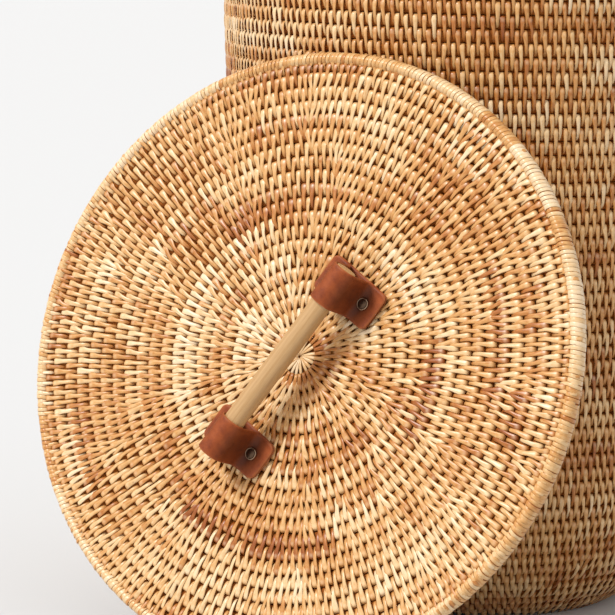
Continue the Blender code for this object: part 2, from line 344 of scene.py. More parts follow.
def lay_rows(radii, rng, lean):
    """For each row, outwards or upwards: where its stitches start and where they tuck in.
    A stitch starts between two stitches of the row before, or two share a gap where more fit."""
    rows = []
    heads = even_angles(stitches_round(radii[0]))
    tucks = heads
    for index, radius in enumerate(radii):
        if index:
            gaps = (heads + np.concatenate([heads[1:], [heads[0] + TURN]])) / 2.0
            extra = max(0, stitches_round(radius) - len(gaps))
            steps = np.arange(extra) + rng.uniform(0.0, 1.0) + rng.uniform(-0.3, 0.3, extra)
            doubled = np.floor(steps * len(gaps) / max(extra, 1)).astype(int) % len(gaps)
            parents = np.sort(np.concatenate([np.arange(len(gaps)), doubled]))
            pitch = TURN / len(parents)
            same = np.diff(parents, prepend=-1) == 0
            twin = np.concatenate([same[1:], [False]])
            tucks = gaps[parents] + pitch * (0.20 * same - 0.20 * twin)
            heads = relaxed(gaps[parents] + pitch * (0.35 * same - 0.35 * twin), 7)
        pitch = TURN / len(heads)
        starts = heads + rng.normal(0.0, 0.06, len(heads)) * pitch - lean * pitch
        rows.append((starts, tucks + rng.normal(0.0, 0.04, len(heads)) * pitch))
    return rows


def strip_tones(count, rng, level):
    """Stitches made from one length of cane share a tone, for a run of them."""
    tones = np.empty(count)
    at = 0
    while at < count:
        run = int(rng.integers(5, 24))
        tones[at:at + run] = level + rng.normal(0.0, 0.15)
        at += run
    return np.clip(tones + rng.normal(0.0, 0.09, count), 0.0, 1.0)


def drifting(angles, row, waves):
    """Slow change of tone round the circle and from row to row."""
    total = np.zeros(len(angles))
    for beats, start, climb, size in waves:
        total += size * np.sin(beats * angles + start + climb * row)
    return total


def tone_waves(rng, size):
    """Waves of tone: beats round the circle, start, climb from row to row, and size."""
    return [(beats, rng.uniform(0.0, TURN), rng.normal(0.0, 0.35), size / math.sqrt(beats))
            for beats in (1, 2, 3, 5, 8)]


def stitch_part(skin, top, pitches, row, tones, rng, stations, section, flip,
                reach=FULL_REACH, sink=0.0):
    """All the stitches of one row. They start at t = top and run down across two rows."""
    own, beyond = pitches
    heads, tucks = row
    count = len(heads)
    kept = stations[stations[:, 0] <= reach]
    q, width, depth = kept.T
    bend = np.clip((q - 0.30) / 1.10, 0.0, 1.0)
    bend = bend * bend * (3.0 - 2.0 * bend)
    middle = heads[:, None] + (tucks - heads)[:, None] * bend[None, :]
    # Each stitch lies, leans and starts a little differently, and has its own width.
    lift = rng.normal(0.0, 0.00014, count) + sink
    roll = rng.normal(0.0, 0.13, count)
    size = rng.uniform(0.86, 1.10, count)
    shift = rng.normal(0.0, 0.020, count)
    run = np.minimum(q, 1.0) * own + np.maximum(q - 1.0, 0.0) * beyond
    t = top - run[None, :] - shift[:, None] * own
    radius, _ = skin(t, 0.0)
    crowded = min(1.0, skin(np.array(top), 0.0)[0] * TURN / count / STITCH_SPACING)
    half = 0.5 * STRIP_WIDTH * crowded * size[:, None] * width[None, :]
    half = np.minimum(half, 0.60 * np.abs(radius) * TURN / count)
    x, z = section.T
    crown = STRIP_EDGE + (STRIP_TOP - STRIP_EDGE) * z
    phi = middle[:, :, None] + half[:, :, None] * x / radius[:, :, None]
    low = depth[None, :, None] * MILLIMETRE - crown + lift[:, None, None]
    low = low + roll[:, None, None] * half[:, :, None] * x
    full_t = np.broadcast_to(t[:, :, None], phi.shape)
    points = spun(skin, full_t, phi, low)
    seeds = rng.uniform(0.0, SEED_RANGE, count)
    fibre = fibres(phi.shape, x * 0.5 * STRIP_WIDTH, run[None, :, None], seeds[:, None, None])
    shade = np.broadcast_to(tones[:, None, None], phi.shape)
    size = (count, len(q), len(x))
    return part(points, grid_quads(*size, flip), shade, fibre, 0, tube_ends(*size, flip))


def core_part(skin, middle, half, depth, thick, seed, flip):
    """One turn of the rattan core: an oval ring in the depth of the skin."""
    segments, around = 120, 10
    a, phi = even_angles(around)[None, :], even_angles(segments)[:, None]
    t = middle + half * np.cos(a) + 0.0 * phi
    deep = depth + thick * np.sin(a) + 0.0 * phi
    points = spun(skin, t, np.broadcast_to(phi, t.shape), deep)
    radius, _ = skin(np.array(middle), 0.0)
    fibre = fibres(t.shape, a * half, phi * radius, seed)
    quads = grid_quads(1, segments, around, flip, ring=True)
    return part(points, quads, np.full(t.shape, 0.5), fibre, 1)


def golden(angles):
    """From 0 to 1, how much of the border's golden lashing shows at each angle."""
    return np.clip(2.0 * (np.cos(angles - GOLDEN_SIDE) - 0.35), 0.0, 1.0)


def woven(face, back, tops, pitches, thickness, face_rows, back_rows, levels, waves, rng,
          stations=FACE_STATIONS, reaches=None, tucked=(), upright=False):
    """Stitches on both faces of some rows, with the cores between them. Tucked rows run in
    under the border. On an upright wall the rows run the other way round their skin, so its
    faces are turned over."""
    parts = []
    for index, top in enumerate(tops):
        own = pitches[index][0]
        reach = reaches[index] if reaches else FULL_REACH
        row = face_rows[index]
        tones = strip_tones(len(row[0]), rng, levels[index]) + drifting(row[0], top / own, waves)
        under = 0.0
        if index in tucked:
            under = golden(row[0])
            tones = tones + 0.14 * under - 0.16
        parts.append(stitch_part(face, top, pitches[index], row, tones, rng, stations,
                                 FACE_SECTION, upright, reach, TUCKED_SINK * under))
        row = back_rows[index]
        tones = strip_tones(len(row[0]), rng, levels[index] - 0.08)
        tones = tones + drifting(row[0], top / own, waves)
        parts.append(stitch_part(back, top, pitches[index], row, tones, rng, BACK_STATIONS,
                                 BACK_SECTION, not upright, reach))
        seed = float(rng.uniform(0.0, SEED_RANGE))
        parts.append(core_part(face, top - own / 2.0, own * CORE_REACH, thickness / 2.0,
                               thickness / 2.0 - CORE_DEPTH, seed, upright))
    return parts


def hub_part(skin, radius, rng, flip):
    """Strips that gather into the middle of a disc, over a small round pad."""
    count, twist = 20, 0.35
    outer = even_angles(count) + rng.normal(0.0, 0.03, count)
    tones = np.clip(rng.normal(0.25, 0.10, count), 0.0, 1.0)
    return stitch_part(skin, radius, (radius, radius), (outer, outer + twist), tones, rng,
                       HUB_STATIONS, FACE_SECTION, flip)


def pad_part(skin, radius, depth, flip):
    """Round pad under the gathered strips, slightly domed."""
    segments, pinhole, dome, thick = 48, 0.0006, 0.0006, 0.0010
    t = np.append(radius, np.linspace(radius, pinhole, 5))
    tt, pp = np.meshgrid(t, even_angles(segments), indexing="ij")
    deep = depth + dome * (tt / radius) ** 2
    deep[0] += thick
    points = spun(skin, tt, pp, deep)
    size = (1, len(t), segments)
    return part(points, grid_quads(*size, flip), np.full(tt.shape, 0.5), circled(tt, pp, 0.0), 1,
                tube_ends(*size, flip))


def oval_ring(radius, height, width, tall, inset, a):
    """Radius and height at the angle 'a' round the oval section of a rim."""
    return (radius + (width / 2.0 - inset) * np.cos(a),
            height + (tall / 2.0 - inset) * np.sin(a))


def wrap_part(radius, height, width, tall, count, skew, rng, level):
    """Close turns of cane round an oval rim."""
    around, inset = 16, 0.0001
    a = even_angles(around)[None, None, :]
    tones = strip_tones(count, rng, level)
    size = rng.uniform(0.84, 1.10, count)
    x, z = WRAP_SECTION.T
    half = 0.5 * TURN * radius / count * WRAP_FILL * size
    crown = WRAP_CROWN * z[None, :, None] + rng.normal(0.0, 0.00012, count)[:, None, None]
    skews = skew + rng.normal(0.0, 0.0009, count)[:, None, None]
    across = half[:, None, None] * x[None, :, None]
    phi = even_angles(count)[:, None, None] + across / radius - skews * np.cos(a)
    points_r, points_z = oval_ring(radius, height, width, tall, inset - crown, a)
    seeds = rng.uniform(0.0, SEED_RANGE, count)
    fibre = fibres(phi.shape, across, a * (width + tall) / 4.0, seeds[:, None, None])
    quads = grid_quads(count, len(x), around, True, ring=True)
    shade = np.broadcast_to(tones[:, None, None], phi.shape)
    return part(circled(points_r, phi, points_z), quads, shade, fibre, 0)


def oval_core_part(radius, height, width, tall):
    """The rim's own core under its wraps."""
    segments, around, inset = 160, 14, WRAP_CROWN + 0.0003
    a, phi = np.meshgrid(even_angles(around), even_angles(segments))
    points_r, points_z = oval_ring(radius, height, width, tall, inset, a)
    fibre = fibres(a.shape, a * width / 2.0, phi * radius, 0.0)
    quads = grid_quads(1, segments, around, True, ring=True)
    return part(circled(points_r, phi, points_z), quads, np.full(a.shape, 0.5), fibre, 1)


# ---------------------------------------------------------------- materials

# Colours along a ramp: place, then red, green and blue.
CANE_COLOURS = [(0.00, (0.75, 0.565, 0.360)), (0.24, (0.67, 0.445, 0.222)),
                (0.50, (0.58, 0.302, 0.100)), (0.76, (0.42, 0.150, 0.029)),
                (1.00, (0.26, 0.066, 0.008))]
CANE_SPECK = (0.20, 0.085, 0.035, 1.0)
# Pale colour of the painted highlight where each strip bends over its core.
CANE_GLINT = (0.97, 0.80, 0.53, 1.0)
CANE_BEND = 0.0028            # from a strip's start to where it bends over its core, the place of its painted highlight
REED_COLOURS = [(0.25, (0.18, 0.040, 0.003)), (0.50, (0.30, 0.082, 0.008)),
                (0.75, (0.42, 0.130, 0.016))]
LEATHER_COLOURS = [(0.25, (0.150, 0.026, 0.005)), (0.42, (0.245, 0.050, 0.010)),
                   (0.62, (0.34, 0.080, 0.018))]
LEATHER_RUBBED = (0.46, 0.16, 0.050, 1.0)
# Painted shade in the strap's fold beside the bar.
LEATHER_FOLD_SHADE = (0.045, 0.011, 0.004, 1.0)
WOOD_COLOURS = [(0.20, (0.38, 0.208, 0.076)), (0.50, (0.44, 0.257, 0.104)),
                (0.80, (0.50, 0.304, 0.134))]
METAL_COLOURS = [(0.3, (0.060, 0.036, 0.024)), (0.7, (0.16, 0.095, 0.058))]
METAL_RUBBED = (0.50, 0.36, 0.24, 1.0)


def shader(name):
    finish = bpy.data.materials.new(name)
    finish.use_nodes = True
    tree = finish.node_tree
    return finish, tree, tree.nodes["Principled BSDF"]


def node(tree, kind, inputs=None, **settings):
    """A new node: sockets in 'inputs' are linked, other values are set."""
    made = tree.nodes.new(kind)
    for key, value in settings.items():
        setattr(made, key, value)
    for key, value in (inputs or {}).items():
        if isinstance(value, bpy.types.NodeSocket):
            tree.links.new(value, made.inputs[key])
        else:
            made.inputs[key].default_value = value
    return made


def attribute(tree, name, output="Fac"):
    return node(tree, "ShaderNodeAttribute", attribute_name=name).outputs[output]


def ramp(tree, factor, stops):
    made = node(tree, "ShaderNodeValToRGB", {"Fac": factor})
    while len(made.color_ramp.elements) < len(stops):
        made.color_ramp.elements.new(0.5)
    for element, (place, colour) in zip(made.color_ramp.elements, stops):
        element.position = place
        element.color = (*colour, 1.0)
    return made.outputs["Color"]


def maths(tree, operation, a, b=0.0, clamp=False):
    made = node(tree, "ShaderNodeMath", {0: a, 1: b}, operation=operation, use_clamp=clamp)
    return made.outputs[0]


def scaled(tree, value, gain, base):
    return maths(tree, "ADD", maths(tree, "MULTIPLY", value, gain), base)


def swayed(tree, value, wave, amount):
    """The value, moved up and down by a noise that is 0.5 on average."""
    sway = maths(tree, "MULTIPLY", maths(tree, "SUBTRACT", wave, 0.5), amount)
    return maths(tree, "ADD", value, sway)


def ranged(tree, value, start, end, low, high):
    """Straight change from low to high while the value goes from start to end."""
    return node(tree, "ShaderNodeMapRange", {"Value": value, "From Min": start, "From Max": end,
                                             "To Min": low, "To Max": high}).outputs[0]


def mixed(tree, factor, a, b):
    """Colour a, with colour b over it as far as the factor says."""
    return node(tree, "ShaderNodeMix", {0: factor, 6: a, 7: b}, data_type="RGBA").outputs[2]


def noise(tree, place, scale, detail, **more):
    inputs = {"Vector": place, "Scale": scale, "Detail": detail, **more}
    return node(tree, "ShaderNodeTexNoise", inputs).outputs["Fac"]


def fibre_noise(tree, stretch, scale, detail=3.0):
    """Noise drawn out along the strip: its coordinates are across, along and a seed."""
    place = node(tree, "ShaderNodeVectorMath", {0: attribute(tree, "fibre", "Vector"), 1: stretch},
                 operation="MULTIPLY").outputs[0]
    return noise(tree, place, scale, detail, Roughness=0.55)


def finished(tree, surface, colour, rough, height, strength, distance):
    """Colour, roughness and fine bump of a surface."""
    tree.links.new(colour, surface.inputs["Base Color"])
    tree.links.new(rough, surface.inputs["Roughness"])
    bump = node(tree, "ShaderNodeBump", {"Height": height, "Strength": strength,
                                         "Distance": distance})
    tree.links.new(bump.outputs["Normal"], surface.inputs["Normal"])


def cane(name, ends):
    """Split cane: cream to honey to burnt orange, long fibres, glossy skin, with painted shade at
    the ends and along the edges, a painted highlight along the ridge, and a pale painted highlight
    where it bends over its core."""
    finish, tree, surface = shader(name)
    streaks = fibre_noise(tree, (1.0, 0.045, 1.0), 2600.0)
    patches = fibre_noise(tree, (0.5, 0.5, 1.0), 260.0, 2.0)
    grain = fibre_noise(tree, (1.0, 0.22, 1.0), 1000.0, 2.0)
    mix = swayed(tree, attribute(tree, "tone"), streaks, 0.30)
    mix = swayed(tree, mix, patches, 0.34)
    mix = swayed(tree, mix, grain, 0.55)
    place = node(tree, "ShaderNodeSeparateXYZ", {0: attribute(tree, "fibre", "Vector")})
    aside, along = maths(tree, "ABSOLUTE", place.outputs["X"]), place.outputs["Y"]
    # Painted shade where the strip dips in at its start and its end, and a painted highlight along
    # its raised middle; 'ends' sets their strength.
    head = ranged(tree, along, 0.0006, 0.0072, ends, -0.6 * ends)
    tail = ranged(tree, along, 0.0112, 0.0180, -0.6 * ends, ends)
    # Painted shade along the strip's edges, where it meets its neighbours.
    side = ranged(tree, aside, 0.00080, 0.00230, 0.0, 0.14)
    painted_shade_and_ridge_light = maths(tree, "ADD", maths(tree, "MAXIMUM", head, tail), side)
    mix = maths(tree, "ADD", mix, painted_shade_and_ridge_light, clamp=True)
    colour = ramp(tree, mix, CANE_COLOURS)

    specks = fibre_noise(tree, (1.0, 0.35, 1.0), 900.0, 1.0)
    spot = ramp(tree, specks, [(0.0, (0, 0, 0)), (0.70, (0, 0, 0)), (0.78, (1, 1, 1))])
    colour = mixed(tree, maths(tree, "MULTIPLY", spot, 0.45), colour, CANE_SPECK)

    # A pale painted highlight on the strip's crown, where it bends over its core.
    off_bend = maths(tree, "ABSOLUTE", maths(tree, "SUBTRACT", along, CANE_BEND))
    bend = ranged(tree, off_bend, 0.0003, 0.0020, 6.0 * ends, 0.0)
    middle = ranged(tree, aside, 0.0002, 0.0016, 1.0, 0.0)
    painted_glint = maths(tree, "MULTIPLY", maths(tree, "MULTIPLY", bend, middle), grain, clamp=True)
    colour = mixed(tree, painted_glint, colour, CANE_GLINT)
    finished(tree, surface, colour, scaled(tree, streaks, 0.30, 0.20), streaks, 0.40, 0.00020)
    surface.inputs["Specular IOR Level"].default_value = 0.32
    surface.inputs["Coat Weight"].default_value = 0.28
    surface.inputs["Coat Roughness"].default_value = 0.30
    return finish


def reed():
    """Rattan core, seen in the gaps between the strips."""
    finish, tree, surface = shader("reed_core")
    strands = fibre_noise(tree, (1.0, 0.03, 1.0), 1500.0)
    colour = ramp(tree, strands, REED_COLOURS)
    finished(tree, surface, colour, scaled(tree, strands, 0.25, 0.60), strands, 0.6, 0.0004)
    surface.inputs["Specular IOR Level"].default_value = 0.2
    return finish


def leather():
    """Brown leather: grain cells and creases. Where 'tone' is above zero it is worn pale, and
    below zero it carries painted shade, in the fold beside the bar."""
    finish, tree, surface = shader("tan_leather")
    wear, place = attribute(tree, "tone"), attribute(tree, "fibre", "Vector")
    cloud = noise(tree, place, 130.0, 4.0)
    cells = node(tree, "ShaderNodeTexVoronoi", {"Vector": place, "Scale": 1100.0},
                 feature="DISTANCE_TO_EDGE").outputs["Distance"]
    creases = noise(tree, place, 420.0, 5.0, Roughness=0.65)
    mix = maths(tree, "ADD", maths(tree, "MULTIPLY", cloud, 0.5),
                maths(tree, "MULTIPLY", creases, 0.3))
    colour = mixed(tree, wear, ramp(tree, mix, LEATHER_COLOURS), LEATHER_RUBBED)
    # Negative 'tone' is painted shade in the fold.
    painted_fold_shade = maths(tree, "MULTIPLY", wear, -1.0, clamp=True)
    colour = mixed(tree, painted_fold_shade, colour, LEATHER_FOLD_SHADE)
    height = maths(tree, "ADD", maths(tree, "MINIMUM", cells, 0.25),
                   maths(tree, "MULTIPLY", creases, 0.5))
    finished(tree, surface, colour, scaled(tree, creases, 0.28, 0.38), height, 0.45, 0.00035)
    surface.inputs["Specular IOR Level"].default_value = 0.22
    return finish


def wood():
    """Pale turned hardwood: fine pores drawn out along the bar, rings on its ends."""
    finish, tree, surface = shader("pale_wood")
    place = attribute(tree, "fibre", "Vector")
    long_way = node(tree, "ShaderNodeVectorMath", {0: place, 1: (0.06, 1.0, 1.0)},
                    operation="MULTIPLY").outputs[0]
    bands = node(tree, "ShaderNodeTexWave", {"Vector": long_way, "Scale": 95.0, "Distortion": 5.0,
                                             "Detail": 3.0, "Detail Scale": 1.6},
                 wave_type="BANDS", bands_direction="Y").outputs["Fac"]
    pores = noise(tree, long_way, 1500.0, 4.0)
    mix = maths(tree, "ADD", maths(tree, "MULTIPLY", bands, 0.22),
                maths(tree, "MULTIPLY", pores, 0.78))
    colour = ramp(tree, mix, WOOD_COLOURS)
    finished(tree, surface, colour, scaled(tree, pores, 0.25, 0.38), mix, 0.25, 0.0002)
    surface.inputs["Coat Weight"].default_value = 0.08
    return finish


def metal():
    """Dark antique brass, rubbed bright where 'tone' says so."""
    finish, tree, surface = shader("antique_metal")
    stain = noise(tree, attribute(tree, "fibre", "Vector"), 700.0, 5.0)
    dark = ramp(tree, stain, METAL_COLOURS)
    colour = mixed(tree, attribute(tree, "tone"), dark, METAL_RUBBED)
    finished(tree, surface, colour, scaled(tree, stain, 0.30, 0.22), stain, 0.2, 0.0002)
    surface.inputs["Metallic"].default_value = 1.0
    return finish


# ---------------------------------------------------------------- basket

def basket(cane_finish, rim_finish, core_finish):
    """The wall, one length of core after another, then the base and the mouth."""
    rng = np.random.default_rng(11)
    rows = WALL_COURSES * ROWS_PER_COURSE
    edges = np.arange(rows + 1) * ROW_PITCH
    radii = wall_skin(edges + ROW_PITCH / 2.0, 0.0)[0]
    outside = lay_rows(radii, rng, 0.10)
    inside = lay_rows(radii - WALL_THICKNESS, rng, -0.08)
    # Each row's tone; the rows are paler towards the mouth, with painted shade towards the foot.
    levels = 0.58 + 0.08 * np.sin(np.arange(rows) * 0.9) + rng.normal(0.0, 0.07, rows)
    levels = levels - 0.10 * np.arange(rows) / rows
    waves = tone_waves(rng, 0.06)
    pitches = [(ROW_PITCH, ROW_PITCH)] * rows
    reaches = [FOOT_REACH] + [FULL_REACH] * (rows - 1)
    for course in range(WALL_COURSES):
        span = slice(course * ROWS_PER_COURSE, (course + 1) * ROWS_PER_COURSE)
        name = f"wall_course_{course + 1:02d}"
        parts = woven(wall_skin, wall_lining, edges[span] + ROW_PITCH, pitches[span],
                      WALL_THICKNESS, outside[span], inside[span], levels[span], waves, rng,
                      WALL_STATIONS, reaches[span], upright=True)
        build(f"{name}_weave", parts, (cane_finish, core_finish), "basket",
              (name,))
    base_pieces(cane_finish, core_finish)
    mouth(outside[rows], inside[rows], rim_finish, core_finish)


def base_pieces(cane_finish, core_finish):
    """Two lengths of core: four rows round the hub, then six out to the wall's foot."""
    rng = np.random.default_rng(12)
    pitch = (BASE_SPLIT - BASE_HUB) / 4.0
    outer_pitch = (FOOT_RADIUS - BASE_GAP - BASE_SPLIT) / 6.0
    tops = [BASE_HUB + pitch * (k + 1) for k in range(4)]
    tops += [BASE_SPLIT + outer_pitch * (k + 1) for k in range(6)]
    radii = np.array(tops) - pitch / 2.0
    floor_rows = lay_rows(radii, rng, 0.08)
    sole_rows = lay_rows(radii, rng, -0.08)
    levels = np.full(len(tops), 0.45)
    waves = tone_waves(rng, 0.06)
    centre = woven(base_floor, base_sole, tops[:4], [(pitch, pitch)] * 4, BASE_THICKNESS,
                   floor_rows[:4], sole_rows[:4], levels[:4], waves, rng)
    for skin, flip in ((base_floor, False), (base_sole, True)):
        centre.append(hub_part(skin, BASE_HUB, rng, flip))
        centre.append(pad_part(skin, BASE_HUB, BASE_PAD_DEPTH, flip))
    build("base_centre_weave", centre, (cane_finish, core_finish), "basket",
          ("base_centre",))
    outer = woven(base_floor, base_sole, tops[4:], [(outer_pitch, outer_pitch)] * 6, BASE_THICKNESS,
                  floor_rows[4:], sole_rows[4:], levels[4:], waves, rng)
    build("base_course_weave", outer, (cane_finish, core_finish), "basket",
          ("base_course",))


def mouth(outside, inside, rim_finish, core_finish):
    """The bound coil round the mouth, lashed to the wall's last row."""
    rng = np.random.default_rng(13)
    _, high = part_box("mouth_rim")
    radius = high.x - RIM_WIDTH / 2.0
    height = high.z - RIM_HEIGHT / 2.0
    count = 2 * len(outside[0])
    parts = [wrap_part(radius, height, RIM_WIDTH, RIM_HEIGHT, count, 0.006, rng, 0.30),
             oval_core_part(radius, height, RIM_WIDTH, RIM_HEIGHT)]
    top = (WALL_COURSES * ROWS_PER_COURSE + 1) * ROW_PITCH
    for skin, row, flip in ((wall_skin, outside, True), (wall_lining, inside, False)):
        tones = strip_tones(len(row[0]), rng, 0.42)
        parts.append(stitch_part(skin, top, (ROW_PITCH, ROW_PITCH), row, tones, rng, RIM_STATIONS,
                                 FACE_SECTION, flip))
    build("mouth_rim_binding", parts, (rim_finish, core_finish), "basket",
          ("mouth_rim",))


# ---------------------------------------------------------------- lid

def joint(name):
    return next(j for j in frame["joints"] if j["name"] == name)


def lid_matrix():
    """Rows across, up the slope and out of the lid's face, and the disc's centre."""
    out = Vector(joint("lid_lift")["axis"]).normalized()
    low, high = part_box("lid_border")
    centre = (low + high) / 2.0 - out * (BORDER_HEIGHT / 2.0)
    across = Vector((1.0, 0.0, 0.0))
    up = out.cross(across)
    columns = Matrix((across, up, out)).transposed().to_4x4()
    return Matrix.Translation(centre) @ columns


def lid(matrix, cane_finish, rim_finish, core_finish):
    """The disc, one length of core after another, with its hub, then the border."""
    rng = np.random.default_rng(21)
    rows = LID_COURSES * LID_ROWS
    border_inner = LID_RADIUS - BORDER_WIDTH
    pitch = (border_inner - LID_HUB) / (rows - 1 + LAST_ROW)
    widths = np.full(rows, pitch)
    widths[-1] = LAST_ROW * pitch
    tops = LID_HUB + np.cumsum(widths)
    pitches = list(zip(widths, np.concatenate([[pitch], widths[:-1]])))
    radii = np.append(tops - widths / 2.0, LID_RADIUS - BORDER_WIDTH / 2.0)
    face_rows = lay_rows(radii, rng, 0.05)
    back_rows = lay_rows(radii, rng, -0.05)
    # Each row's tone, darker outwards and round the hub, and darker on one side of the lid.
    levels = 0.43 + 0.05 * np.sin(np.arange(rows) * 1.7) + rng.normal(0.0, 0.06, rows)
    levels += 0.09 * np.arange(rows) / rows
    levels[:3] = levels[:3] + np.array((0.16, 0.12, 0.06))
    waves = tone_waves(rng, 0.07) + [(1, 2.6, 0.0, 0.07)]
    reaches = [HUB_REACH] + [FULL_REACH] * (rows - 1)
    for course in range(LID_COURSES):
        span = slice(course * LID_ROWS, (course + 1) * LID_ROWS)
        name = f"lid_course_{course}" if course else "lid_centre"
        tucked = (LID_ROWS - 1,) if course == LID_COURSES - 1 else ()
        parts = woven(lid_face, lid_back, tops[span], pitches[span], LID_THICKNESS,
                      face_rows[span], back_rows[span], levels[span], waves, rng,
                      FACE_STATIONS, reaches[span], tucked)
        if not course:
            for skin, flip in ((lid_face, False), (lid_back, True)):
                parts.append(hub_part(skin, HUB_STRIPS, rng, flip))
                parts.append(pad_part(skin, LID_HUB, LID_PAD_DEPTH, flip))
        build(f"{name}_weave", parts, (cane_finish, core_finish), "lid",
              (name,), matrix)
    border(matrix, border_inner, (pitch, widths[-1]), face_rows[rows], back_rows[rows],
           rim_finish, core_finish)


def border(matrix, inner, pitches, face_row, back_row, rim_finish, core_finish):
    """The wrapped border; its lashing runs in a zigzag along the golden stretch."""
    rng = np.random.default_rng(22)
    width = BORDER_WIDTH + BORDER_LAP
    radius = inner + BORDER_WIDTH - width / 2.0
    count = 2 * len(face_row[0])
    parts = [wrap_part(radius, BORDER_HEIGHT / 2.0, width, BORDER_HEIGHT, count, 0.004, rng, 0.28),
             oval_core_part(radius, BORDER_HEIGHT / 2.0, width, BORDER_HEIGHT)]
    for skin, row, flip, stations in ((lid_face, face_row, False, BORDER_FACE_STATIONS),
                                      (lid_back, back_row, True, BORDER_BACK_STATIONS)):
        heads, tucks = row
        side = golden(heads)
        zigzag = np.where(np.arange(len(heads)) % 2, 0.16, -0.16) * TURN / len(heads)
        tones = strip_tones(len(heads), rng, 0.32) + 0.10 * side
        lashing = (heads - zigzag * side, tucks + zigzag * side)
        parts.append(stitch_part(skin, inner + pitches[0], pitches, lashing, tones, rng, stations,
                                 FACE_SECTION, flip, sink=BORDER_SINK * side))
    build("lid_border_binding", parts, (rim_finish, core_finish), "lid",
          ("lid_border",), matrix)


# ---------------------------------------------------------------- handle

def handle_matrix():
    """Along the bar, across it, and out of the lid, on the lid's top face."""
    turn = joint("grip_turn")
    out = Vector(joint("lid_lift")["axis"]).normalized()
    along = Vector(turn["axis"]).normalized()
    across = out.cross(along)
    origin = Vector(turn["pos_m"]) - out * DOWEL_HEIGHT
    return Matrix.Translation(origin) @ Matrix((along, across, out)).transposed().to_4x4()


def patch_low():
    """Height of the patches' underside above the lid's middle."""
    reach = math.hypot(DOWEL_LENGTH, STRAP_SPAN) / 2.0 + PATCH_MARGIN
    return lid_under(reach) - lid_under(0.0) + JOINT_GAP


def tab_half_width(y, half_span):
    """Half the strap's width at y: round corners at both ends."""
    past = np.clip(np.abs(y) - (half_span - TAB_CORNER), 0.0, TAB_CORNER)
    return STRAP_WIDTH / 2.0 - TAB_CORNER + np.sqrt(np.maximum(TAB_CORNER ** 2 - past ** 2, 0.0))


def leather_part(path_y, path_z, plan_y, thickness, dip, across=28):
    """Leather along a (y, z) path, with rounded edges, worn pale, and painted shade at its folds.
    """
    count = len(path_y)
    step_y, step_z = np.gradient(path_y), np.gradient(path_z)
    length = np.hypot(step_y, step_z)
    up_y, up_z = -step_z / length, step_y / length
    v = np.linspace(-1.0, 1.0, across)
    ease = np.sign(v) * np.abs(v) ** 0.85
    half = tab_half_width(plan_y, STRAP_SPAN / 2.0)
    x = half[:, None] * ease[None, :]
    rim = np.minimum(half[:, None] - np.abs(x), (STRAP_SPAN / 2.0 - np.abs(plan_y))[:, None])
    near = np.clip(rim / EDGE_ROUND, 0.0, 1.0)
    round_off = 0.5 * thickness * (1.0 - np.sqrt(np.maximum(1.0 - (1.0 - near) ** 2, 0.0)))
    sink = dip(x, plan_y[:, None] + 0.0 * x, path_z[:, None] + 0.0 * x)
    faces = []
    for side in (1.0, -1.0):
        lift = side * (thickness / 2.0 - round_off)
        faces.append(np.stack([x, path_y[:, None] + up_y[:, None] * lift,
                               path_z[:, None] + up_z[:, None] * lift + sink], axis=-1))
    top, bottom = faces
    loop = np.concatenate([top, bottom[:, ::-1]], axis=1)
    around = 2 * across
    quads = grid_quads(1, count, around, False)
    run = np.cumsum(length)[:, None]
    side_x = np.concatenate([x, x[:, ::-1]], axis=1)
    deep = np.concatenate([np.zeros_like(x), np.full_like(x, 0.02)], axis=1)
    fibre = fibres((count, around), side_x, run, deep)
    rub = np.clip(1.0 - rim / RUBBED_EDGE, 0.0, 1.0) ** 2 * 0.75
    # Painted shade in the fold beside the bar, darkest across the strap's middle; 'wear' holds the
    # real edge wear less this painted shade.
    fold = np.exp(-((np.abs(plan_y) - FOLD_PLACE) / FOLD_BREADTH) ** 2)
    painted_fold_shade = fold[:, None] * (0.50 + 0.50 * np.exp(-(x / FOLD_SHADE_BREADTH) ** 2))
    wear = np.concatenate([rub - painted_fold_shade, (rub * 0.6 - painted_fold_shade)[:, ::-1]], axis=1)
    return part(loop, quads, wear, fibre, 0, tube_ends(1, count, around))


def flat_dip(x, y, z):
    """A patch is pressed down a little round its rivets."""
    near = np.hypot(x, np.abs(y) - RIVET_OFFSET)
    return -0.0002 * np.exp(-(near / PATCH_PRESS) ** 2)


def saddle_dip(tab):
    """The rivets pin the strap down to tab height; its long edges curl up between them."""
    def dip(x, y, z):
        near = np.hypot(x, np.abs(y) - RIVET_OFFSET)
        above = z - tab
        pinned = np.exp(-(near / SADDLE_PRESS) ** 4) * np.clip(1.0 - above / 0.012, 0.0, 1.0)
        edge = (np.abs(x) / (STRAP_WIDTH / 2.0)) ** 3 * np.exp(-above / 0.003)
        return 0.0007 * edge - (above + 0.0003) * pinned
    return dip


def saddle_path(tab_middle):
    """Middle line of the strap: tab, small bend, over the bar, and down again."""
    reach = DOWEL_RADIUS + DOWEL_PLAY + LEATHER / 2.0
    bend = 0.0065
    out = np.linspace(STRAP_SPAN / 2.0, reach + bend, 20)
    tab = [(y, tab_middle) for y in out]
    turn = [(reach + bend - bend * math.sin(a), tab_middle + bend - bend * math.cos(a))
            for a in np.linspace(0.0, math.pi / 2.0, 12)[1:]]
    rise = [(reach, z) for z in np.linspace(tab_middle + bend, DOWEL_HEIGHT, 9)[1:-1]]
    over = [(reach * math.cos(a), DOWEL_HEIGHT + reach * math.sin(a))
            for a in np.linspace(0.0, math.pi / 2.0, 15)]
    half = tab + turn + rise + over
    full = half + [(-y, z) for y, z in half[-2::-1]]
    return np.array(full).T


